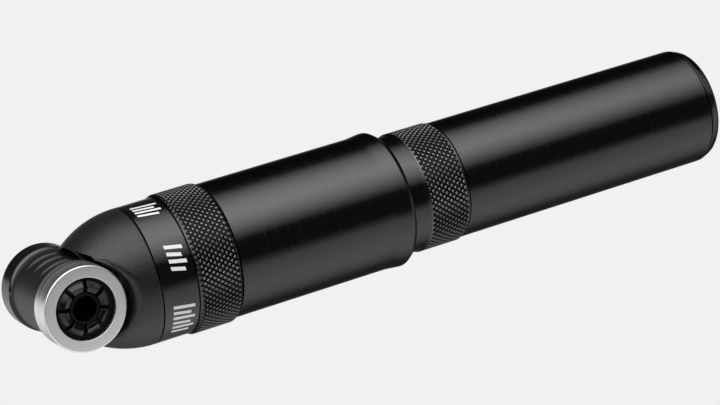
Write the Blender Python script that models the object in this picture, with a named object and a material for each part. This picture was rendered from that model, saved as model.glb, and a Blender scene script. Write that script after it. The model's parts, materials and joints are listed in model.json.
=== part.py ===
"""Bicycle mini pump, closed, lying on its side on the floor plane z = 0.

World frame: X along the pump axis from the head to the end cap, Y along the chuck axis,
Z up.  The origin is the middle of the footprint.  Every turned piece is described by a
profile of (distance along its axis, radius) points in millimetres, measured from the point
where the chuck axis crosses the pump axis.
"""
import math

import bmesh
import bpy
from mathutils import Matrix, Vector

MM = 0.001

# Facets round a piece: a flat facet always faces straight down, so the pump lies steady.
SIDES = 32
FINE_SIDES = 16

# Clearance kept between two pieces that touch.
GAP = 0.3

# ---- driving dimensions, millimetres ----------------------------------------------------
# Outside diameters are halved into radii here.
DOME_R = 18.6
DOME_ARC_R = 27.1
BAND_R = 18.6
HEAD_RING_R = 19.3
SLEEVE_R = 18.5
LIP_R = 18.95
COLLAR_R = 16.8
HANDLE_R = 16.36
BARREL_R = 14.9
BORE_R = 14.05
ROD_R = 4.0
CHUCK_RING_R = 11.46
CHUCK_BODY_R = 10.75
SADDLE_R = 12.7

# Stations along the pump axis, from the chuck axis.
DOME_END = 19.5
BAND_END = 29.8
HEAD_RING_END = 42.5
LIP_EDGE = 95.6
COLLAR_END = 113.3
TUBE_END = 193.5
CAP_END = 197.3
CORE_FACE = 30.5
PISTON_BACK = 36.1
BUMPER_END = 37.6
GLAND_FACE = 181.9
BARREL_END = 188.2

# Stations along the chuck axis, positive towards the Schrader port.
SCHRADER_SHOULDER = 6.95
SCHRADER_FACE = 14.3
PRESTA_SHOULDER = -9.45
PRESTA_FACE = -16.06
SCHRADER_HOLE_R = 3.95
PRESTA_HOLE_R = 3.1

# The handle stops when the bumper meets the gland.
STROKE = GLAND_FACE - BUMPER_END - GAP

# A turned piece stands on the flat of its lowest facet.
FLAT = math.cos(math.pi / SIDES)
AXIS_Z = HEAD_RING_R * FLAT
CHUCK_X = -(CAP_END - CHUCK_RING_R * FLAT) / 2
ORIGIN = Vector((CHUCK_X * MM, 0.0, AXIS_Z * MM))

ALONG_PUMP = 0.0
ALONG_CHUCK = -math.pi / 2

MATERIALS = {
    "head_black": ((0.022, 0.022, 0.024), 0.50, 0.0),
    "anodised_black": ((0.020, 0.020, 0.022), 0.35, 0.6),
    "gloss_black": ((0.010, 0.010, 0.011), 0.15, 0.0),
    "bare_aluminium": ((0.72, 0.72, 0.73), 0.35, 1.0),
    "steel": ((0.55, 0.56, 0.58), 0.30, 1.0),
    "brass": ((0.70, 0.52, 0.22), 0.35, 1.0),
    "rubber": ((0.015, 0.015, 0.015), 0.85, 0.0),
    "nylon": ((0.030, 0.030, 0.032), 0.60, 0.0),
}


def clear_scene():
    for item in list(bpy.data.objects):
        bpy.data.objects.remove(item, do_unlink=True)


def material(name):
    found = bpy.data.materials.get(name)
    if found:
        return found
    color, roughness, metallic = MATERIALS[name]
    made = bpy.data.materials.new(name)
    made.use_nodes = True
    shader = made.node_tree.nodes["Principled BSDF"]
    shader.inputs["Base Color"].default_value = (*color, 1.0)
    shader.inputs["Roughness"].default_value = roughness
    shader.inputs["Metallic"].default_value = metallic
    return made


def place(name, bm, turn):
    """Make a bmesh into an object at the crossing of the two axes, turned about Z."""
    bmesh.ops.recalc_face_normals(bm, faces=bm.faces)
    mesh = bpy.data.meshes.new(name)
    bm.to_mesh(mesh)
    bm.free()
    mesh.shade_smooth()
    mesh.set_sharp_from_angle(angle=math.radians(35))
    made = bpy.data.objects.new(name, mesh)
    made.location = ORIGIN
    made.rotation_euler = (0.0, 0.0, turn)
    bpy.context.collection.objects.link(made)
    return made


def turned(name, profile, slot, turn=ALONG_PUMP, sides=SIDES):
    """Spin a profile about its axis; a profile that meets the axis makes a solid bar."""
    bm = bmesh.new()
    start = -math.pi / 2 + math.pi / sides
    side = Vector((0.0, math.cos(start), math.sin(start)))
    verts = [bm.verts.new((x * MM, *(side * r * MM)[1:])) for x, r in profile]
    edges = [bm.edges.new(pair) for pair in zip(verts, verts[1:])]
    if profile[0][1] > 0:
        edges.append(bm.edges.new((verts[-1], verts[0])))
    bmesh.ops.spin(
        bm, geom=verts + edges, cent=(0, 0, 0), axis=(1, 0, 0),
        angle=2 * math.pi, steps=sides, use_merge=True,
    )
    bmesh.ops.remove_doubles(bm, verts=bm.verts, dist=0.001 * MM)
    made = place(name, bm, turn)
    made.data.materials.append(material(slot))
    return made


def tube(name, x0, x1, inner, outer, slot, turn=ALONG_PUMP, sides=SIDES):
    profile = [(x0, inner), (x0, outer), (x1, outer), (x1, inner)]
    return turned(name, profile, slot, turn, sides)


def o_ring(name, x, ring_r, cord_r, turn=ALONG_PUMP, sides=SIDES):
    """A rubber ring with a six-sided section, flat on the outside."""
    angles = [math.radians(60 * k) for k in range(6)]
    profile = [(x + cord_r * math.sin(a), ring_r + cord_r * math.cos(a)) for a in angles]
    return turned(name, profile, "rubber", turn, sides)


def hex_nut(name, x0, x1, flats, hole_r, slot):
    """A hexagon nut with a round hole along the pump axis."""
    corner = flats / 2 / math.cos(math.pi / 6)
    made = turned(name, [(x0, 0), (x0, corner), (x1, corner), (x1, 0)], slot, sides=6)
    hole = turned(name + "_cutter", [(x0 - 1, 0), (x0 - 1, hole_r), (x1 + 1, hole_r), (x1 + 1, 0)],
                  slot, sides=FINE_SIDES)
    cut(made, hole)
    return made


def cut(target, cutter):
    cutter.hide_render = True
    cutter.display_type = "WIRE"
    cutter.parent = target
    cutter.matrix_parent_inverse = target.matrix_basis.inverted()
    boolean = target.modifiers.new("cut_" + cutter.name, "BOOLEAN")
    boolean.operation = "DIFFERENCE"
    boolean.solver = "EXACT"
    boolean.object = cutter


# ---- head --------------------------------------------------------------------------------
NECK_R = 3.3
NECK_TIP = 7.5
CORE_R = 16.9
PASSAGE_R = 1.3
SOCKET_FLOOR = 26.2


def dome_outline(first, last, steps):
    """Points along the dome's arc, which is level with the band where they meet."""
    points = []
    for k in range(steps + 1):
        x = first + (last - first) * k / steps
        back = DOME_END + 0.2 - x
        points.append((x, DOME_R - DOME_ARC_R + math.sqrt(DOME_ARC_R ** 2 - back ** 2)))
    return points


def head_dome():
    nose, counterbore, counterbore_r = 0.5, 15.6, 14.9
    profile = [(nose, NECK_R + 0.4)] + dome_outline(nose, DOME_END, 8)
    profile += [(DOME_END, counterbore_r), (counterbore, counterbore_r), (counterbore, NECK_R + 0.4)]
    dome = turned("head_dome", profile, "head_black")
    reach = 25
    saddle = turned("saddle_cutter", [(-reach, 0), (-reach, SADDLE_R), (reach, SADDLE_R), (reach, 0)],
                    "head_black", ALONG_CHUCK)
    cut(dome, saddle)


def head_core():
    """Manifold: neck into the chuck, shoulder for the dome, socket for the barrel."""
    groove_0, groove_1, groove_r = 8.6, 9.8, 2.6
    shoulder, shoulder_r, body = 15.9, 14.6, DOME_END + GAP
    socket_r, end = BARREL_R + GAP, 35.2
    boss_r, seat_r, cage_r, cage_floor = 13.4, 5.0, 3.0, 22.5
    turned("head_core", [
        (NECK_TIP, PASSAGE_R), (NECK_TIP, NECK_R),
        (groove_0, NECK_R), (groove_0, groove_r), (groove_1, groove_r), (groove_1, NECK_R),
        (shoulder, NECK_R), (shoulder, shoulder_r), (body, shoulder_r), (body, CORE_R),
        (end, CORE_R), (end, socket_r), (SOCKET_FLOOR, socket_r), (SOCKET_FLOOR, boss_r),
        (CORE_FACE, boss_r), (CORE_FACE, seat_r), (SOCKET_FLOOR, seat_r), (SOCKET_FLOOR, cage_r),
        (cage_floor, cage_r), (cage_floor, PASSAGE_R),
    ], "bare_aluminium")
    o_ring("neck_o_ring", (groove_0 + groove_1) / 2, 3.4, 0.5, sides=FINE_SIDES)


def check_valve():
    """A ball that air from the barrel lifts off a cone seat."""
    seat_x, seat_mouth_r, hole_r = SOCKET_FLOOR + GAP, 2.2, 1.2
    turned("check_seat", [
        (seat_x, seat_mouth_r), (seat_x, 4.7), (CORE_FACE, 4.7), (CORE_FACE, hole_r),
        (seat_x + seat_mouth_r - hole_r, hole_r),
    ], "brass", sides=FINE_SIDES)
    ball_r, clearance = 2.0, 0.12
    centre = seat_x + seat_mouth_r - (ball_r + clearance) * math.sqrt(2)
    bm = bmesh.new()
    bmesh.ops.create_icosphere(bm, subdivisions=2, radius=ball_r * MM)
    bmesh.ops.translate(bm, verts=bm.verts, vec=(centre * MM, 0, 0))
    ball = place("check_ball", bm, ALONG_PUMP)
    ball.data.materials.append(material("steel"))


def label_band():
    tube("label_band", DOME_END + GAP, BAND_END, CORE_R + GAP, BAND_R, "gloss_black")


def head_ring():
    """Threaded ring that draws the sleeve onto the core; its outside is knurled."""
    start, chamfer, step = BAND_END + GAP, 0.7, 35.6
    turned("head_ring", [
        (start, CORE_R + GAP), (start, HEAD_RING_R - chamfer), (start + chamfer, HEAD_RING_R),
        (HEAD_RING_END - chamfer, HEAD_RING_R), (HEAD_RING_END, HEAD_RING_R - chamfer),
        (HEAD_RING_END, SLEEVE_R - 0.4), (step, SLEEVE_R - 0.4), (step, CORE_R + GAP),
    ], "anodised_black")


# ---- sleeve and barrel -------------------------------------------------------------------
MOUTH_R = 17.1
MOUTH_RING_0 = 84.0
MOUTH_RING_1 = 90.0


def outer_sleeve():
    """Spigot inside the head ring, plain tube, then a lip that swells and rolls over."""
    groove_r, spigot_r = 17.8, SLEEVE_R - 0.7
    shoulder = HEAD_RING_END + GAP
    turned("outer_sleeve", [
        (36.0, MOUTH_R), (36.0, spigot_r), (shoulder, spigot_r), (shoulder, SLEEVE_R),
        (LIP_EDGE - 6.0, SLEEVE_R), (LIP_EDGE - 3.3, SLEEVE_R + 0.2), (LIP_EDGE - 2.0, LIP_R),
        (LIP_EDGE - 1.0, LIP_R - 0.15), (LIP_EDGE - 0.3, LIP_R - 0.85), (LIP_EDGE, MOUTH_R + 0.2),
        (LIP_EDGE, MOUTH_R), (MOUTH_RING_1 + GAP, MOUTH_R), (MOUTH_RING_1 + GAP, groove_r),
        (MOUTH_RING_0 - GAP, groove_r), (MOUTH_RING_0 - GAP, MOUTH_R),
    ], "anodised_black")
    tube("mouth_ring", MOUTH_RING_0, MOUTH_RING_1, COLLAR_R + 0.15, groove_r - GAP, "nylon")


def barrel():
    start = 27.6
    tube("barrel_tube", start, BARREL_END, BORE_R, BARREL_R, "bare_aluminium")
    tube("barrel_gasket", SOCKET_FLOOR + GAP, start - GAP, 13.75, 14.85, "rubber")
    plug_r, hole_r, flange_end = BORE_R - GAP, 5.4, BARREL_END + 1.3
    groove_0, groove_1, groove_r = 184.3, 185.9, 12.6
    turned("barrel_gland", [
        (GLAND_FACE, hole_r), (GLAND_FACE, plug_r), (groove_0, plug_r), (groove_0, groove_r),
        (groove_1, groove_r), (groove_1, plug_r), (BARREL_END + GAP, plug_r),
        (BARREL_END + GAP, BARREL_R), (flange_end, BARREL_R), (flange_end, hole_r),
    ], "nylon")
    o_ring("gland_o_ring", (groove_0 + groove_1) / 2, 13.3, 0.6)
    tube("rod_bush", GLAND_FACE + GAP, flange_end - GAP, ROD_R + 0.15, hole_r - GAP, "brass",
         sides=FINE_SIDES)


# ---- piston and rod ----------------------------------------------------------------------
STUD_R = 2.5
STUD_HOLE_R = 2.8
ROD_END = 190.2


def piston():
    face, nut_floor, nut_well_r = CORE_FACE + 0.4, 33.4, 5.2
    groove_0, groove_1, groove_r, head_r = 32.5, 34.5, 12.2, 13.6
    turned("piston_head", [
        (face, nut_well_r), (face, head_r), (groove_0, head_r), (groove_0, groove_r),
        (groove_1, groove_r), (groove_1, head_r), (PISTON_BACK, head_r),
        (PISTON_BACK, STUD_HOLE_R), (nut_floor, STUD_HOLE_R), (nut_floor, nut_well_r),
    ], "nylon")
    o_ring("piston_o_ring", (groove_0 + groove_1) / 2, 13.15, 0.75)
    hex_nut("piston_nut", nut_floor - 1.7, nut_floor - GAP, 8.0, STUD_HOLE_R, "steel")
    tube("bumper", BUMPER_END - 1.0, BUMPER_END, ROD_R + GAP, 9.0, "rubber", sides=FINE_SIDES)


def piston_rod():
    shoulder = PISTON_BACK + GAP
    turned("piston_rod", [
        (31.4, 0), (31.4, STUD_R), (shoulder, STUD_R), (shoulder, ROD_R),
        (ROD_END, ROD_R), (ROD_END, STUD_R), (195.3, STUD_R), (195.3, 0),
    ], "bare_aluminium", sides=FINE_SIDES)


# ---- handle ------------------------------------------------------------------------------
SWIVEL_R = 13.3
WASHER_1 = 191.1
SWIVEL_0 = 191.4
SWIVEL_1 = 193.1


def handle():
    """Tube with a thin skirt that slides between the sleeve and the barrel."""
    start, skirt_r, inner = 35.8, 15.7, BARREL_R + GAP
    step = COLLAR_END + GAP
    turned("handle_tube", [
        (start, inner), (start, skirt_r), (step, skirt_r), (step, HANDLE_R),
        (TUBE_END, HANDLE_R), (TUBE_END, inner),
    ], "anodised_black")
    collar_0, chamfer, collar_inner = MOUTH_RING_0 + 0.5, 0.3, skirt_r + 0.25
    turned("handle_collar", [
        (collar_0, collar_inner), (collar_0, COLLAR_R - chamfer), (collar_0 + chamfer, COLLAR_R),
        (COLLAR_END - chamfer, COLLAR_R), (COLLAR_END, COLLAR_R - chamfer),
        (COLLAR_END, collar_inner),
    ], "anodised_black")


def end_cap():
    """Cap with a threaded skirt; the swivel plate sits inside it."""
    skirt_0, skirt_r, inner, floor = 190.9, BARREL_R, SWIVEL_R + 0.35, 195.7
    turned("end_cap", [
        (floor, 0), (floor, inner), (skirt_0, inner), (skirt_0, skirt_r),
        (TUBE_END + GAP, skirt_r), (TUBE_END + GAP, HANDLE_R), (CAP_END - 1.4, HANDLE_R),
        (CAP_END - 0.7, HANDLE_R - 0.25), (CAP_END - 0.2, HANDLE_R - 0.75),
        (CAP_END, HANDLE_R - 1.45), (CAP_END, 0),
    ], "anodised_black")
    tube("swivel_plate", SWIVEL_0, SWIVEL_1, STUD_HOLE_R, SWIVEL_R, "steel")
    tube("thrust_washer", ROD_END + GAP, WASHER_1, STUD_HOLE_R, 6.0, "brass", sides=FINE_SIDES)
    hex_nut("rod_nut", SWIVEL_1 + GAP, SWIVEL_1 + 1.9, 8.0, STUD_HOLE_R, "steel")


# ---- chuck -------------------------------------------------------------------------------
THREAD_R = 9.6
SCHRADER_WELL_R = 8.0
PRESTA_WELL_R = 6.6
SCHRADER_SPIGOT = 11.8
PRESTA_SPIGOT = -13.9
SCHRADER_FLOOR = 4.6
PRESTA_FLOOR = -5.0
FLANGE_R = 9.3
LIP_HOLE_R = 8.3
INSERT_NOSE_R = 8.0


def chuck_body():
    shuttle_bore_r = 3.4
    body = turned("chuck_body", [
        (PRESTA_SPIGOT, PRESTA_WELL_R), (PRESTA_SPIGOT, THREAD_R), (PRESTA_SHOULDER, THREAD_R),
        (PRESTA_SHOULDER, CHUCK_BODY_R), (SCHRADER_SHOULDER, CHUCK_BODY_R),
        (SCHRADER_SHOULDER, THREAD_R), (SCHRADER_SPIGOT, THREAD_R),
        (SCHRADER_SPIGOT, SCHRADER_WELL_R), (SCHRADER_FLOOR, SCHRADER_WELL_R),
        (SCHRADER_FLOOR, shuttle_bore_r), (PRESTA_FLOOR, shuttle_bore_r),
        (PRESTA_FLOOR, PRESTA_WELL_R),
    ], "head_black", ALONG_CHUCK)
    socket_r, socket_floor = 4.1, NECK_TIP - GAP
    passage = turned("passage_cutter", [
        (1.0, 0), (1.0, PASSAGE_R), (socket_floor, PASSAGE_R), (socket_floor, socket_r),
        (14.0, socket_r), (14.0, 0),
    ], "head_black", sides=FINE_SIDES)
    cut(body, passage)


def valve_ring(name, face, shoulder, slot):
    """Threaded cap ring; its inner lip holds the insert down on the chuck body."""
    way = 1 if face > 0 else -1
    back, bore_end, chamfer = shoulder + way * GAP, face - way * 1.45, 0.35
    turned(name, [
        (back, THREAD_R + GAP), (back, CHUCK_RING_R - chamfer),
        (back + way * chamfer, CHUCK_RING_R), (face - way * chamfer, CHUCK_RING_R),
        (face, CHUCK_RING_R - chamfer), (face, LIP_HOLE_R), (bore_end, LIP_HOLE_R),
        (bore_end, THREAD_R + GAP),
    ], slot, ALONG_CHUCK)


def slot_cutter(name, x0, x1, inner, outer, width, count):
    """Radial bars round the chuck axis, one for each slot of an insert."""
    bm = bmesh.new()
    for k in range(count):
        made = bmesh.ops.create_cube(bm, size=1.0)["verts"]
        size = Vector((x1 - x0, width, outer - inner)) * MM
        bmesh.ops.scale(bm, verts=made, vec=size)
        middle = Vector(((x0 + x1) / 2, 0.0, (inner + outer) / 2)) * MM
        bmesh.ops.translate(bm, verts=made, vec=middle)
        turn = Matrix.Rotation((k + 0.25) * 2 * math.pi / count, 3, "X")
        bmesh.ops.rotate(bm, verts=made, cent=(0, 0, 0), matrix=turn)
    return place(name, bm, ALONG_CHUCK)


def insert(name, spigot, flange, nose, tail, hole_r, well_r):
    """Collar with a flange under the ring's lip and eight slots in its nose."""
    way = 1 if nose > 0 else -1
    body_r, slot_width, slot_floor = well_r - GAP, 0.9, spigot - way * 0.8
    made = turned(name, [
        (tail, hole_r), (tail, body_r), (spigot + way * 0.25, body_r),
        (spigot + way * 0.25, FLANGE_R), (flange, FLANGE_R), (flange, INSERT_NOSE_R),
        (nose, INSERT_NOSE_R), (nose, hole_r),
    ], "nylon", ALONG_CHUCK)
    ends = sorted((slot_floor, nose + way * 1.0))
    cutter = slot_cutter(name + "_cutter", ends[0], ends[1], hole_r + 0.9, body_r - 0.4,
                         slot_width, 8)
    cut(made, cutter)


def schrader_side():
    valve_ring("schrader_ring", SCHRADER_FACE, SCHRADER_SHOULDER, "bare_aluminium")
    insert("schrader_insert", SCHRADER_SPIGOT, 12.55, 13.6, 9.5, SCHRADER_HOLE_R + 0.2,
           SCHRADER_WELL_R)
    tube("schrader_grommet", SCHRADER_FLOOR + GAP, 9.2, SCHRADER_HOLE_R, SCHRADER_WELL_R - GAP,
         "rubber", ALONG_CHUCK)


def presta_side():
    valve_ring("presta_ring", PRESTA_FACE, PRESTA_SHOULDER, "anodised_black")
    insert("presta_insert", PRESTA_SPIGOT, -14.4, -15.5, -11.2, PRESTA_HOLE_R, PRESTA_WELL_R)
    tube("presta_grommet", -10.9, PRESTA_FLOOR - GAP, PRESTA_HOLE_R, PRESTA_WELL_R - GAP,
         "rubber", ALONG_CHUCK)


def shuttle():
    """Spool that closes the unused port; its pin opens the core of a Schrader valve."""
    land_r, waist_r, groove_r = 3.1, 1.8, 2.3
    inner, groove_0, groove_1, outer = 0.9, 1.3, 2.3, 2.7
    half = [(inner, waist_r), (inner, land_r), (groove_0, land_r), (groove_0, groove_r),
            (groove_1, groove_r), (groove_1, land_r), (outer, land_r)]
    mirrored = [(-x, r) for x, r in reversed(half)]
    profile = [(-4.6, 0), (-4.6, 1.6), (-outer, 1.6)] + mirrored + half
    profile += [(outer, 1.0), (6.4, 1.0), (6.4, 0)]
    turned("shuttle", profile, "nylon", ALONG_CHUCK, FINE_SIDES)
    middle = (groove_0 + groove_1) / 2
    o_ring("shuttle_o_ring_a", middle, 2.82, 0.38, ALONG_CHUCK, FINE_SIDES)
    o_ring("shuttle_o_ring_b", -middle, 2.82, 0.38, ALONG_CHUCK, FINE_SIDES)


def build():
    clear_scene()
    head_dome()
    head_core()
    check_valve()
    label_band()
    head_ring()
    outer_sleeve()
    barrel()
    piston()
    piston_rod()
    handle()
    end_cap()
    chuck_body()
    schrader_side()
    presta_side()
    shuttle()


build()
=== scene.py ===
"""Bicycle mini pump: fine geometry, finishes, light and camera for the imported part.

Turned pieces are outlines of (station, radius) points in millimetres, measured from the
point where the chuck axis crosses the pump axis.  A third number rounds that corner.
"""

import json
import math

import bmesh
import bpy
import numpy as np
from mathutils import Matrix, Vector

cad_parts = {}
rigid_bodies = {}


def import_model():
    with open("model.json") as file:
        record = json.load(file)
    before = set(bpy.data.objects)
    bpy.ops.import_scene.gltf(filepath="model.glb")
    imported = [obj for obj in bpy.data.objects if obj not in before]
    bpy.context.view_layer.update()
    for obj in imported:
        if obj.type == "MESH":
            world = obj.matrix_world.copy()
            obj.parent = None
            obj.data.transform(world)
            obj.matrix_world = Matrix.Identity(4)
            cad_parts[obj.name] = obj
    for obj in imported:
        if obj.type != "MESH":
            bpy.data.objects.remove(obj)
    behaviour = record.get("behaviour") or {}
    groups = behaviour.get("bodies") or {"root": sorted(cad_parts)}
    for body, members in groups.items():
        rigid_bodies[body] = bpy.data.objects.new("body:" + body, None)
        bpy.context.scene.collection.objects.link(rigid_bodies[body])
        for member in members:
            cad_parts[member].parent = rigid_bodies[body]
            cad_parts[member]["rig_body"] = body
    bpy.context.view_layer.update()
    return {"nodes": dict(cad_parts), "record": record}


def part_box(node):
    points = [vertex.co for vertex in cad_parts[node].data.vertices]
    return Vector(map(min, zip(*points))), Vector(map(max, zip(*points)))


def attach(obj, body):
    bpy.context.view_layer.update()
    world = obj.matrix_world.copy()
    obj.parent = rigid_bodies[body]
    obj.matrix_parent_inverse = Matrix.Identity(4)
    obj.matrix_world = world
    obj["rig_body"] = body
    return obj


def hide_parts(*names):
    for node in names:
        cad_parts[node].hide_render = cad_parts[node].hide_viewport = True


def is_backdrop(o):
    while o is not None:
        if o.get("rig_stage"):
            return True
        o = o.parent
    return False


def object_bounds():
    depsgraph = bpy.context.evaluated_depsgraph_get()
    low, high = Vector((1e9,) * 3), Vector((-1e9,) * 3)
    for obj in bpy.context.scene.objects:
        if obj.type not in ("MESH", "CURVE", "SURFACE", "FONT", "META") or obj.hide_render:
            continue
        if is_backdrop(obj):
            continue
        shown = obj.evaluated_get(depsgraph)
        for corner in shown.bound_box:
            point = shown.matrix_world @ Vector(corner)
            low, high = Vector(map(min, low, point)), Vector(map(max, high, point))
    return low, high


MM = 0.001
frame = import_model()

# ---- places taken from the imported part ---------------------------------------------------
# A packed round piece is a prism, whose box reaches its flats: FLAT of its corner radius.
FACETS = 32
FLAT = math.cos(math.pi / FACETS)
SEGMENTS = 192
low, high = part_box("chuck_body")
CROSSING = Vector(((low.x + high.x) / 2, 0.0, (low.z + high.z) / 2))
PUMP = Matrix.Translation(CROSSING)
CHUCK = PUMP @ Matrix.Rotation(-math.pi / 2, 4, "Z")


def span(node):
    """Start, end and outside radius of a piece turned about the pump axis."""
    low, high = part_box(node)
    radius = (high.z - low.z) / 2 / FLAT
    return (low.x - CROSSING.x) / MM, (high.x - CROSSING.x) / MM, radius / MM


def chuck_span(node):
    """The same for a piece turned about the chuck axis, towards the Schrader port."""
    low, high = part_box(node)
    radius = (high.z - low.z) / 2 / FLAT
    return -high.y / MM, -low.y / MM, radius / MM


# ---- shader helpers ----------------------------------------------------------------------
def add(tree, kind, inputs=None, **settings):
    """A new shader node; an input is a value or another node's output."""
    made = tree.nodes.new("ShaderNode" + kind)
    for key, value in settings.items():
        setattr(made, key, value)
    for key, value in (inputs or {}).items():
        if isinstance(value, bpy.types.NodeSocket):
            tree.links.new(value, made.inputs[key])
        else:
            made.inputs[key].default_value = value
    return made


def calculate(tree, operation, one, other):
    """What a Math node makes of two values."""
    return add(tree, "Math", {0: one, 1: other}, operation=operation).outputs[0]


def remap(tree, value, low, high, first, last, curve="LINEAR"):
    """The value, where low becomes first and high becomes last."""
    made = add(tree, "MapRange", {"Value": value, "From Min": low, "From Max": high,
                                  "To Min": first, "To Max": last}, interpolation_type=curve)
    return made.outputs["Result"]


# ---- finishes ----------------------------------------------------------------------------
LINE_SCALE, LINE_HEIGHT, GRAIN_HEIGHT = 900.0, 0.00002, 0.00008


def make_material(name, color, roughness, metallic=0.0, lines=0.0, along="X", edge=None,
                  grain=0.0, coarse=2300.0, specular=0.5):
    """A finish with fine lines round the axis that it was turned about, or a fine grain."""
    made = bpy.data.materials.new(name)
    made.use_nodes = True
    tree = made.node_tree
    shader = tree.nodes["Principled BSDF"]
    place = add(tree, "TexCoord").outputs["Object"]
    axes = add(tree, "SeparateXYZ", {0: place})
    fine = add(tree, "TexNoise", {"W": axes.outputs[along], "Scale": LINE_SCALE, "Detail": 4.0,
                                  "Roughness": 0.7}, noise_dimensions="1D")
    speck = add(tree, "TexNoise", {"Vector": place, "Scale": coarse, "Detail": 3.0})
    lined = add(tree, "Bump", {"Height": fine.outputs["Fac"], "Strength": lines,
                               "Distance": LINE_HEIGHT})
    grained = add(tree, "Bump", {"Height": speck.outputs["Fac"], "Strength": grain,
                                 "Distance": GRAIN_HEIGHT, "Normal": lined.outputs["Normal"]})
    source, spread = (fine, 0.4) if lines else (speck, 0.35 * grain)
    rough = remap(tree, source.outputs["Fac"], 0.3, 0.7, roughness * (1 - spread),
                  roughness * (1 + spread))
    tree.links.new(rough, shader.inputs["Roughness"])
    tree.links.new(grained.outputs["Normal"], shader.inputs["Normal"])
    shader.inputs["Base Color"].default_value = (*color, 1.0)
    shader.inputs["Metallic"].default_value = metallic
    shader.inputs["Specular IOR Level"].default_value = specular
    if edge is not None:
        shader.inputs["Specular Tint"].default_value = (edge, edge, edge, 1.0)
    return made


METAL = {
    "anodised_black": dict(color=(0.060, 0.060, 0.0615), roughness=0.16, lines=0.6, edge=0.45),
    "anodised_cross": dict(color=(0.10, 0.10, 0.102), roughness=0.14, lines=0.2, along="Y"),
    # The next two finishes are the knurl's painted light: a lighter black on its flat tops as a
    # painted highlight, and a darker black in its grooves as painted shade.
    "tops_painted_highlight": dict(color=(0.13, 0.13, 0.132), roughness=0.18, lines=0.1, edge=0.45),
    "groove_painted_shade": dict(color=(0.022, 0.022, 0.0225), roughness=0.32, lines=0.1, edge=0.3),
    "satin_aluminium": dict(color=(0.87, 0.87, 0.875), roughness=0.32, lines=0.5, along="Y",
                            grain=0.25),
    "bare_aluminium": dict(color=(0.70, 0.70, 0.715), roughness=0.26, lines=0.4),
    "steel": dict(color=(0.55, 0.56, 0.58), roughness=0.28, lines=0.2),
    "brass": dict(color=(0.72, 0.55, 0.26), roughness=0.28, lines=0.3),
}
OTHER = {
    "dome_black": dict(color=(0.009, 0.009, 0.0095), roughness=0.36, grain=0.8, coarse=1700.0),
    "chuck_black": dict(color=(0.008, 0.008, 0.0085), roughness=0.40, grain=0.25),
    "band_black": dict(color=(0.002, 0.002, 0.002), roughness=0.10, lines=0.05, specular=0.65),
    "rubber": dict(color=(0.010, 0.010, 0.011), roughness=0.60, grain=0.3),
    "nylon": dict(color=(0.022, 0.022, 0.023), roughness=0.34, grain=0.15),
    "gloss_nylon": dict(color=(0.003, 0.003, 0.0035), roughness=0.12, grain=0.1),
    # The next finish is nylon made darker and duller as painted shade, for the collars and rubber
    # rings deep in the ports.
    "port_painted_shade": dict(color=(0.002, 0.002, 0.0022), roughness=0.50, grain=0.1, specular=0.15),
    "white_print": dict(color=(0.80, 0.80, 0.79), roughness=0.40, grain=0.1),
}
MATERIALS = {name: make_material(name, metallic=1.0, **values) for name, values in METAL.items()}
MATERIALS.update({name: make_material(name, **values) for name, values in OTHER.items()})


# ---- mesh helpers ------------------------------------------------------------------------
def rounded(outline, steps=4):
    """The outline with each three-number corner replaced by an arc."""
    points, count = [], len(outline)
    for i, corner in enumerate(outline):
        tip = Vector(corner[:2])
        if len(corner) == 2:
            points.append(tip)
            continue
        before = (Vector(outline[i - 1][:2]) - tip).normalized()
        after = (Vector(outline[(i + 1) % count][:2]) - tip).normalized()
        half = math.acos(max(-1.0, min(1.0, before.dot(after)))) / 2
        middle = tip + (before + after).normalized() * (corner[2] / math.sin(half))
        reach = corner[2] / math.tan(half)
        start, finish = tip + before * reach - middle, tip + after * reach - middle
        turn = math.atan2(start.x * finish.y - start.y * finish.x, start.dot(finish))
        for k in range(steps + 1):
            points.append(middle + Matrix.Rotation(turn * k / steps, 2) @ start)
    return [(p.x, p.y) for p in points]


def make(name, verts, faces, node, finish, smooth_angle=40):
    """A mesh object made for a CAD node, in a slot of the part."""
    mesh = bpy.data.meshes.new(name)
    mesh.from_pydata([tuple(v) for v in verts], [], faces)
    bm = bmesh.new()
    bm.from_mesh(mesh)
    bmesh.ops.recalc_face_normals(bm, faces=bm.faces)
    bm.to_mesh(mesh)
    bm.free()
    mesh.shade_smooth()
    mesh.set_sharp_from_angle(angle=math.radians(smooth_angle))
    made = bpy.data.objects.new(name, mesh)
    bpy.context.scene.collection.objects.link(made)
    made.data.materials.append(MATERIALS[finish])
    made["for_node"] = node
    return made


def weighted(made):
    """Shade the flat faces flat and only the rounded edges round."""
    even = made.modifiers.new("even_shading", "WEIGHTED_NORMAL")
    even.keep_sharp = True
    return made


def settle(made, stands_for=True):
    """Let a finished piece move with the body of its node, which it may stand for."""
    node = made["for_node"]
    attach(made, frame["nodes"][node]["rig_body"])
    if stands_for:
        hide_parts(node)
    return made


def skin(name, rows, node, slot, finish=None, axis=PUMP, sharp=40):
    """A surface through rows of points round an axis.

    A row is (stations, radii), each a number or one value for every column.  A first row on
    the axis makes a solid bar; otherwise the last row joins the first and makes a ring.
    """
    segments = max(np.size(part) for row in rows for part in row)
    if segments == 1:
        segments = SEGMENTS
    angles = np.arange(segments) * (2 * math.pi / segments)
    verts, rings = [], []
    for stations, radii in rows:
        pole = np.size(radii) == 1 and radii < 1e-6
        turns = angles[:1] if pole else angles
        rings.append([len(verts) + k for k in range(len(turns))])
        local = np.stack([stations + 0 * turns, radii * np.cos(turns), radii * np.sin(turns)])
        verts.extend(axis @ Vector(point) for point in (local * MM).T)
    closing = [] if len(rings[0]) == 1 else [(rings[-1], rings[0])]
    faces = []
    for one, two in list(zip(rings, rings[1:])) + closing:
        for k in range(segments):
            n = (k + 1) % segments
            if len(one) == 1:
                faces.append((one[0], two[k], two[n]))
            elif len(two) == 1:
                faces.append((one[k], two[0], one[n]))
            else:
                faces.append((one[k], two[k], two[n], one[n]))
    return make(name, verts, faces, node, finish or slot, sharp)


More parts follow.
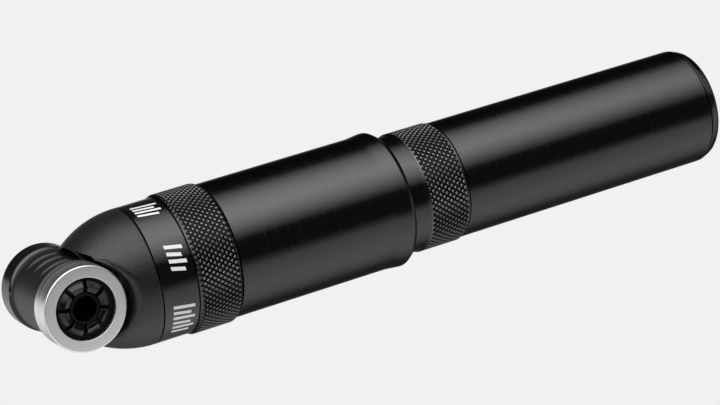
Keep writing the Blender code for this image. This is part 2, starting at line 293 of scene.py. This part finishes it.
def lathe(name, outline, node, slot, finish=None, axis=PUMP):
    """Spin an outline with its corners rounded."""
    return weighted(skin(name, rounded(outline), node, slot, finish, axis))


def knurled(name, outline, node, slot, start, end, count):
    """A ring whose outside, between two stations, is cut by two families of helical grooves.

    A groove is a V that is deepest where its phase is a whole number.  The outline's own
    surface wins wherever it lies lower, as on a chamfer.  The flat tops are coloured lighter,
    a painted highlight, and the grooves darker, painted shade.
    """
    pitch, depth, half_width, steps = 1.92, 0.48, 0.24, 8
    fade, rim, flat_top = 0.25, 1.0, 0.08
    angles = np.arange(count * steps) * (2 * math.pi / (count * steps))
    points = rounded(outline)
    top = max(radius for _, radius in points)
    rows = []
    for (s0, r0), (s1, r1) in zip(points, points[1:] + points[:1]):
        rows.append((s0, r0))
        if s1 > s0 and min(r0, r1) > top - rim:
            first, last = math.floor(s0 / pitch * steps) + 1, math.ceil(s1 / pitch * steps)
            for station in np.arange(first, last) * (pitch / steps):
                rows.append((station, r0 + (r1 - r0) * (station - s0) / (s1 - s0)))
    skins = []
    for station, level in rows:
        inside = min(station - start, end - station) / fade
        nearest = np.full(len(angles), 0.5)
        for lean in (1, -1):
            phase = count * angles / (2 * math.pi) + lean * station / pitch
            nearest = np.minimum(nearest, np.abs(phase - np.round(phase)))
        groove = depth * np.clip(inside, 0, 1) * (1 - np.clip(nearest / half_width, 0, 1))
        skins.append((station, np.minimum(level, top - groove)))
    made = skin(name, skins, node, slot, sharp=30)
    # Flat tops take the lighter finish as a painted highlight; groove faces take the darker one
    # as painted shade.
    made.data.materials.append(MATERIALS["tops_painted_highlight"])
    made.data.materials.append(MATERIALS["groove_painted_shade"])
    crown = [station for station, radius in points if radius > top - 0.01]
    to_pump = PUMP.inverted()
    for face in made.data.polygons:
        center = to_pump @ face.center / MM
        sunk = top - math.hypot(center.y, center.z)
        if min(crown) < center.x < max(crown) and sunk < depth:
            face.material_index = 1 if sunk < flat_top else 2
    return made


# ---- head --------------------------------------------------------------------------------
DOME_ARC = 27.1
SADDLE, NEAR_EAR, FAR_EAR = 13.0, 12.2, 11.7
SHARP_EDGE, ROUND_EDGE = 0.1, 2.0


def rising(value, start, width):
    """0 up to the start, then up to 1 over the width."""
    return np.clip((value - start) / width, 0, 1)


def dome():
    """Domed shell whose nose is cut by a saddle round the chuck.

    The saddle closes up beside the far ring and over the near one.  Its edge is sharp on the
    far side and rounded on the near side.
    """
    _, end, _ = span("head_dome")
    _, _, radius = span("label_band")
    angles = np.arange(256) * (2 * math.pi / 256)

    def surface(station, inset=0.0):
        back = end + 0.2 - station
        return radius - inset - DOME_ARC + np.sqrt(DOME_ARC ** 2 - back ** 2)

    def meeting(reach, inset):
        """Station where the surface is this far from the chuck axis, for each column."""
        near, far = np.zeros(len(angles)), reach + np.zeros(len(angles))
        for _ in range(40):
            middle = (near + far) / 2
            outside = np.hypot(middle, surface(middle, inset) * np.sin(angles)) > reach
            far, near = np.where(outside, middle, far), np.where(outside, near, middle)
        return middle

    near_side, far_side = 9.2, 1.5
    aside = surface(meeting(SADDLE, 0.0)) * np.cos(angles)
    near = rising(-aside, near_side, 1.2) * rising(np.sin(angles), 0.25, 0.35)
    far = rising(aside, far_side, 3.5)
    reach = SADDLE + (NEAR_EAR - SADDLE) * near + (FAR_EAR - SADDLE) * far
    rounding = SHARP_EDGE + (ROUND_EDGE - SHARP_EDGE) * rising(-aside, near_side, 3.0)
    inner = meeting(reach, rounding)
    corner = meeting(reach, 0.0)
    outer = meeting(reach + rounding, 0.0)
    inner_radius = surface(inner, rounding)
    neck, bore, wall, broken_edge = 3.7, 14.9, 15.6, 0.25
    rows = []
    # The saddle, the curve over its edge, and the outside of the dome.
    for share in np.linspace(0, 1, 24):
        radii = neck + (inner_radius - neck) * share
        rows.append((np.sqrt(np.maximum(reach ** 2 - (radii * np.sin(angles)) ** 2, 0)), radii))
    for share in (0.1, 0.3, 0.5, 0.7, 0.9):
        a, b, c = (1 - share) ** 2, 2 * share * (1 - share), share ** 2
        rows.append((a * inner + b * corner + c * outer,
                     a * inner_radius + b * surface(corner) + c * surface(outer)))
    for share in np.linspace(0, 1, 40):
        stations = outer + (end - broken_edge - outer) * share
        rows.append((stations, surface(stations)))
    rows += [(end - 0.07, radius - 0.07), (end, radius - broken_edge), (end, bore), (wall, bore),
             (wall, neck)]
    settle(weighted(skin("head_dome_shell", rows, "head_dome", "dome_black", sharp=30)))


def band():
    """Plain glossy band between the dome and the knurled ring."""
    start, end, radius = span("label_band")
    outline = [(start, 17.2), (start, radius, 0.25), (end, radius, 0.25), (end, 17.2)]
    settle(lathe("label_band_shell", outline, "label_band", "band_black"))


def band_marks():
    """Plain white bars printed on the band, in three groups, with no lettering.

    A group is its first and last angle, its number of bars, and their two ends.
    """
    _, _, radius = span("label_band")
    groups = ((94, 113, 4, 21.4, 28.4), (144, 168, 4, 23.4, 28.2), (195, 228, 6, 22.2, 28.4))
    lean, share, sunk, lift, columns = 3.0, 0.52, 0.02, 0.03, 5
    verts, faces = [], []
    for first, last, count, low, high in groups:
        step = (last - first) / count
        for k in range(count):
            start = first + step * (k + 0.5 - share / 2)
            top = high if k % 2 == 0 else high - 0.18 * (high - low)
            corner = len(verts)
            for r in (radius - sunk, radius + lift):
                for station, slant in ((low, 0.0), (top, lean)):
                    for c in range(columns):
                        angle = math.radians(start + slant + step * share * c / (columns - 1))
                        local = Vector((station, r * math.cos(angle), r * math.sin(angle))) * MM
                        verts.append(PUMP @ local)
            up = 2 * columns
            for a in range(corner, corner + columns - 1):
                b = a + columns
                faces += [(a, b, b + 1, a + 1), (a + up, a + up + 1, b + up + 1, b + up),
                          (a, a + 1, a + up + 1, a + up), (b, b + up, b + up + 1, b + 1)]
            for a in (corner, corner + columns - 1):
                faces.append((a, a + columns, a + columns + up, a + up))
    settle(make("band_marks", verts, faces, "label_band", "white_print", 60),
           stands_for=False)


def head_ring():
    """Knurled ring that closes the head over the sleeve's spigot."""
    start, end, tips = span("head_ring")
    radius = tips * FLAT
    inner, step, neck = 17.2, 35.6, 18.1
    outline = [(start, inner), (start, radius - 0.7), (start + 0.8, radius), (end - 0.7, radius),
               (end - 0.1, radius - 0.6, 0.08), (end, neck), (step, neck), (step, inner)]
    settle(knurled("head_ring_knurled", outline, "head_ring", "anodised_black", start, end, 76))


# ---- sleeve, barrel and handle -----------------------------------------------------------
def sleeve():
    """Outer sleeve, with a bell lip and a groove for the mouth ring at its open end."""
    start, end, lip = span("outer_sleeve")
    radius, spigot, mouth, groove = 18.5, 17.8, 17.1, 17.8
    shoulder = span("head_ring")[1] + 0.3
    outline = [(start, mouth), (start, spigot, 0.2), (shoulder, spigot), (shoulder, radius, 0.25),
               (end - 6.0, radius, 12.0), (end - 3.0, lip - 0.12, 3.0), (end - 1.4, lip, 0.8),
               (end - 0.1, lip - 0.9, 0.7), (end, mouth, 0.3), (90.3, mouth), (90.3, groove),
               (83.7, groove), (83.7, mouth)]
    settle(lathe("outer_sleeve_shell", outline, "outer_sleeve", "anodised_black"))


def barrel():
    """Bare barrel, which shows while the handle is out."""
    start, end, radius = span("barrel_tube")
    outline = [(start, 14.05), (start, radius, 0.2), (end, radius, 0.2), (end, 14.05)]
    settle(lathe("barrel_tube_shell", outline, "barrel_tube", "bare_aluminium"))


def handle():
    """Handle tube, its half-knurled collar and its rounded end cap."""
    start, end, radius = span("handle_tube")
    inner, skirt = 15.2, 15.7
    step = span("handle_collar")[1] + 0.3
    outline = [(start, inner), (start, skirt, 0.15), (step, skirt), (step, radius, 0.3),
               (end, radius, 0.2), (end, inner)]
    settle(lathe("handle_tube_shell", outline, "handle_tube", "anodised_black"))
    start, end, radius = span("handle_collar")
    shoulder, plain = 100.7, radius - 0.35
    outline = [(start, 15.95), (start, plain, 0.3), (shoulder, plain),
               (shoulder + 0.4, radius, 0.1), (end - 0.7, radius, 0.1), (end - 0.7, plain, 0.1),
               (end, plain, 0.2), (end, 15.95)]
    settle(knurled("handle_collar_knurled", outline, "handle_collar", "anodised_black",
                   shoulder + 0.6, end - 0.6, 64))
    start, end, radius = span("end_cap")
    skirt, bore, inside, joint = 14.9, 13.65, 195.7, span("handle_tube")[1] + 0.3
    outline = [(inside, 0), (inside, bore), (start, bore), (start, skirt, 0.1), (joint, skirt),
               (joint, radius, 0.15), (end - 0.6, radius - 1.0, 2.4), (end, radius - 3.0, 0.6),
               (end, 0)]
    settle(lathe("end_cap_shell", outline, "end_cap", "anodised_black"))


# ---- chuck -------------------------------------------------------------------------------
RIBS = (-5.3, -0.9, 3.6)
RIB_REACH, RIB_DEPTH = math.radians(40), 0.55


def rib_depth(station, angles):
    """Depth of the thumb grooves at a station: sloping far wall, flat floor, steep near wall."""
    off_top = np.abs(angles % math.pi - math.pi / 2)
    reach = np.clip(1 - (off_top / RIB_REACH) ** 2, 0, 1) ** 0.7
    share = 0.0
    for rib in RIBS:
        wall = min((station - rib + 0.95) / 0.45, (rib + 0.55 - station) / 0.3)
        share = max(share, min(1.0, wall))
    return RIB_DEPTH * share * reach


def chuck():
    """Satin body with thumb grooves over its top and under it, flared up to the far ring."""
    start, end, _ = chuck_span("chuck_body")
    far, near = -9.45, 6.95
    radius, flare, flare_length, thread = 10.75, 0.42, 1.2, 9.6
    angles = np.arange(240) * (2 * math.pi / 240)
    rows = [(start, 6.6), (start, thread - 0.2), (start + 0.2, thread), (far, thread),
            (far, radius + flare)]
    for station in np.arange(far + 0.15, near - 0.3, 0.15):
        rise = flare * max(0.0, 1 - (station - far) / flare_length) ** 1.4
        rows.append((station, radius + rise - rib_depth(station, angles)))
    rows += [(near - 0.3, radius), (near, radius - 0.3), (near, thread), (end - 0.2, thread),
             (end, thread - 0.2), (end, 8.0), (4.6, 8.0), (4.6, 3.4), (-5.0, 3.4), (-5.0, 6.6)]
    settle(weighted(skin("chuck_body_shell", rows, "chuck_body", "dome_black", "chuck_black",
                         axis=CHUCK)))


def valve_rings():
    """Bare ring on the Schrader side, dished a little; black ring on the Presta side."""
    hole, thread, dish = 8.3, 9.9, 0.06
    start, end, radius = chuck_span("schrader_ring")
    outline = [(start, thread), (start, radius, 0.2), (end - dish, radius, 0.42),
               (end, hole, 0.15), (end - 1.45, hole), (end - 1.45, thread)]
    settle(lathe("schrader_ring_shell", outline, "schrader_ring", "satin_aluminium", axis=CHUCK))
    start, end, radius = chuck_span("presta_ring")
    outline = [(start, hole, 0.15), (start, radius, 0.4), (end - 0.8, radius, 0.3),
               (end, radius - 0.42, 0.05), (end, thread), (start + 1.45, thread),
               (start + 1.45, hole)]
    settle(lathe("presta_ring_shell", outline, "presta_ring", "anodised_black",
                 "anodised_cross", axis=CHUCK))


# For each port: its direction on the chuck axis, the insert's hole and tail radius, and the
# grommet's hole and mouth.
PORTS = {"schrader": (1, 4.15, 7.9, 3.95, 3.4), "presta": (-1, 3.4, 6.5, 3.1, 2.9)}


def port_ends(node, way):
    """Stations of a piece's open end and its inner end."""
    start, end, _ = chuck_span(node)
    return (end, start) if way > 0 else (start, end)


def inserts():
    """Dark collar in each port, with eight two-tier pads on it; the collar's finish is darkened
    and dulled as painted shade of the port.
    """
    for port, (way, hole, tail_radius, _, _) in PORTS.items():
        face, tail = port_ends(f"{port}_insert", way)
        seat, flange, lip, well = face - way * 1.8, 9.3, 8.15, 7.9
        outline = [(tail, hole), (tail, tail_radius), (seat, flange), (seat + way * 0.7, flange),
                   (seat + way * 0.7, lip), (seat + way * 0.8, well), (seat + way * 0.8, hole)]
        settle(lathe(f"{port}_insert_shell", outline, f"{port}_insert", "nylon", "port_painted_shade",
                     axis=CHUCK))
        pads(port, way, face, hole)


def pads(port, way, face, hole):
    """Sector blocks: a funnelled inner tier, then a tier that slopes away to the rim."""
    count, gap, inner, turned_back = 8, 1.15, hole + 0.25, 11
    profile = [(-1.3, inner), (-0.05, inner), (0.3, 5.5), (0.5, 5.7), (0.5, 5.85),
               (-0.5, 7.15), (-0.7, 7.35), (-1.3, 7.4)]
    verts, faces = [], []
    size, steps = len(profile), 6
    for k in range(count):
        first = len(verts)
        middle = math.radians(90 - turned_back) + (k + 0.5) * 2 * math.pi / count
        for share in np.linspace(-1, 1, steps):
            for depth, radius in profile:
                half = math.pi / count - math.asin(gap / 2 / radius)
                angle = middle + share * half
                verts.append(CHUCK @ (Vector((face + way * depth, radius * math.cos(angle),
                                              radius * math.sin(angle))) * MM))
        for row in range(steps - 1):
            for i in range(size):
                n = (i + 1) % size
                a = first + row * size
                faces.append((a + i, a + n, a + size + n, a + size + i))
        faces.append(tuple(range(first, first + size)))
        faces.append(tuple(reversed(range(first + (steps - 1) * size, first + steps * size))))
    made = make(f"{port}_pads", verts, faces, f"{port}_insert", "gloss_nylon", 25)
    bevel = made.modifiers.new("soft_edges", "BEVEL")
    bevel.width, bevel.segments, bevel.limit_method = 0.1 * MM, 2, "ANGLE"
    bevel.angle_limit = math.radians(25)
    settle(weighted(made), stands_for=False)


def hubs():
    """Rubber ring inside each port that seals on the valve, darkened and dulled as painted shade.
    """
    for port, (way, _, _, hole, mouth) in PORTS.items():
        _, _, radius = chuck_span(f"{port}_grommet")
        front, back = port_ends(f"{port}_grommet", way)
        face = port_ends(f"{port}_insert", way)[0] - way * 0.1
        outline = [(back, hole), (back, radius, 0.2), (front, radius, 0.2), (front, hole + 0.1),
                   (face - way * 0.1, hole + 0.1), (face, mouth + 0.5, 0.12), (face, mouth, 0.12),
                   (face - way * 0.8, mouth, 0.1), (face - way * 1.4, hole)]
        settle(lathe(f"{port}_grommet_ring", outline, f"{port}_grommet", "rubber", "port_painted_shade",
                     axis=CHUCK))


# ---- carried-over nodes ------------------------------------------------------------------
def finish_nodes():
    """Give every node that stays in view the finish of its slot."""
    for row in frame["record"]["subparts"]:
        node = frame["nodes"][row["node"]]
        node.data.materials.clear()
        node.data.materials.append(MATERIALS[row["material_slot"]])


# ---- studio ------------------------------------------------------------------------------
BACKDROP = (0.88, 0.88, 0.88, 1.0)
BRIGHTEST, DIMMEST = 3.0, 0.018
# Softboxes that run along the pump.  A stop is (degrees round its axis, brightness), and the
# degrees count from +Y over the top.
ABOVE = [(0, 0.0), (52, 0.0), (60, 0.12), (66, 0.60), (82, 1.85), (98, 2.70), (114, 3.00),
         (130, 2.10), (147, 0.70), (156, 0.0)]
FRONT = [(190, 0.0), (197, 0.20), (204, 0.60), (212, 0.76), (245, 1.08), (262, 1.02),
         (276, 0.74), (290, 0.30), (306, 0.10), (325, 0.04), (345, 0.0)]
BEHIND = [(0, 0.64), (2, 0.50), (6, 0.0), (268, 0.0), (280, 0.06), (292, 0.08),
          (322, 0.06), (338, 0.74), (350, 0.78), (360, 0.64)]


def softbox(tree, turn, stops):
    """Share of the full brightness at a turn round the pump's axis."""
    made = add(tree, "ValToRGB", {"Fac": turn})
    elements = made.color_ramp.elements
    while len(elements) < len(stops):
        elements.new(0.5)
    for element, (degrees, value) in zip(elements, stops):
        element.position = degrees / 360
        element.color = (value / BRIGHTEST, value / BRIGHTEST, value / BRIGHTEST, 1.0)
    return made.outputs["Color"]


def light():
    """Softboxes above, in front and behind, which fade or rise along the pump.

    The camera sees the plain backdrop instead of them.
    """
    world = bpy.data.worlds.new("studio")
    bpy.context.scene.world = world
    world.use_nodes = True
    tree = world.node_tree
    tree.nodes.clear()
    direction = add(tree, "TexCoord").outputs["Generated"]
    along, across, up = add(tree, "SeparateXYZ", {0: direction}).outputs
    angle = calculate(tree, "ARCTAN2", up, across)
    turn = calculate(tree, "FRACT", calculate(tree, "DIVIDE", angle, 2 * math.pi), 0.0)
    fade = remap(tree, along, 0.38, 0.82, 1.0, 0.0, "SMOOTHSTEP")
    rise = remap(tree, along, 0.70, 0.88, 0.0, 0.3)
    side = remap(tree, along, -0.15, 0.40, 1.0, 0.3)
    above = calculate(tree, "MULTIPLY", softbox(tree, turn, ABOVE),
                      calculate(tree, "ADD", fade, rise))
    behind = calculate(tree, "MULTIPLY", softbox(tree, turn, BEHIND),
                       calculate(tree, "ADD", side, rise))
    total = DIMMEST
    for part in (above, softbox(tree, turn, FRONT), behind):
        total = calculate(tree, "ADD", part, total)
    boxes = add(tree, "Background", {"Color": total, "Strength": BRIGHTEST})
    plain = add(tree, "Background", {"Color": BACKDROP, "Strength": 1.0})
    seen = add(tree, "LightPath").outputs["Is Camera Ray"]
    mixed = add(tree, "MixShader", {0: seen, 1: boxes.outputs[0], 2: plain.outputs[0]})
    tree.links.new(mixed.outputs[0], add(tree, "OutputWorld").inputs["Surface"])


def floor():
    """A pale floor that only the camera sees, so that it takes no shadow or reflection."""
    half = 3.0
    mesh = bpy.data.meshes.new("floor")
    mesh.from_pydata([(-half, -half, 0), (half, -half, 0), (half, half, 0), (-half, half, 0)],
                     [], [(0, 1, 2, 3)])
    made = bpy.data.objects.new("floor", mesh)
    bpy.context.scene.collection.objects.link(made)
    pale = bpy.data.materials.new("pale_floor")
    pale.use_nodes = True
    tree = pale.node_tree
    tree.nodes.clear()
    glow = add(tree, "Emission", {"Color": BACKDROP, "Strength": 1.0})
    tree.links.new(glow.outputs[0], add(tree, "OutputMaterial").inputs["Surface"])
    mesh.materials.append(pale)
    made.visible_diffuse = made.visible_glossy = made.visible_shadow = False
    made.visible_transmission = False
    made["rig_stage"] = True


def camera():
    """Seen from the chuck end, a little from above."""
    azimuth, elevation, roll = math.radians(-25.68), math.radians(16.53), math.radians(-9.44)
    offset = Vector((-0.2370, -0.6764, 0.2237))
    data = bpy.data.cameras.new("camera")
    data.lens, data.sensor_width = 143.95, 36.0
    data.clip_start, data.clip_end = 0.05, 20.0
    made = bpy.data.objects.new("camera", data)
    bpy.context.scene.collection.objects.link(made)
    back = Vector((math.sin(azimuth) * math.cos(elevation),
                   -math.cos(azimuth) * math.cos(elevation), math.sin(elevation)))
    level = (-back).to_track_quat("-Z", "Y").to_matrix().to_4x4()
    made.matrix_world = (Matrix.Translation(CROSSING + offset) @ level
                         @ Matrix.Rotation(roll, 4, "Z"))
    bpy.context.scene.camera = made


dome()
band()
band_marks()
head_ring()
sleeve()
barrel()
handle()
chuck()
valve_rings()
inserts()
hubs()
finish_nodes()
bpy.context.scene.view_settings.view_transform = "Standard"
light()
floor()
camera()

low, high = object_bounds()
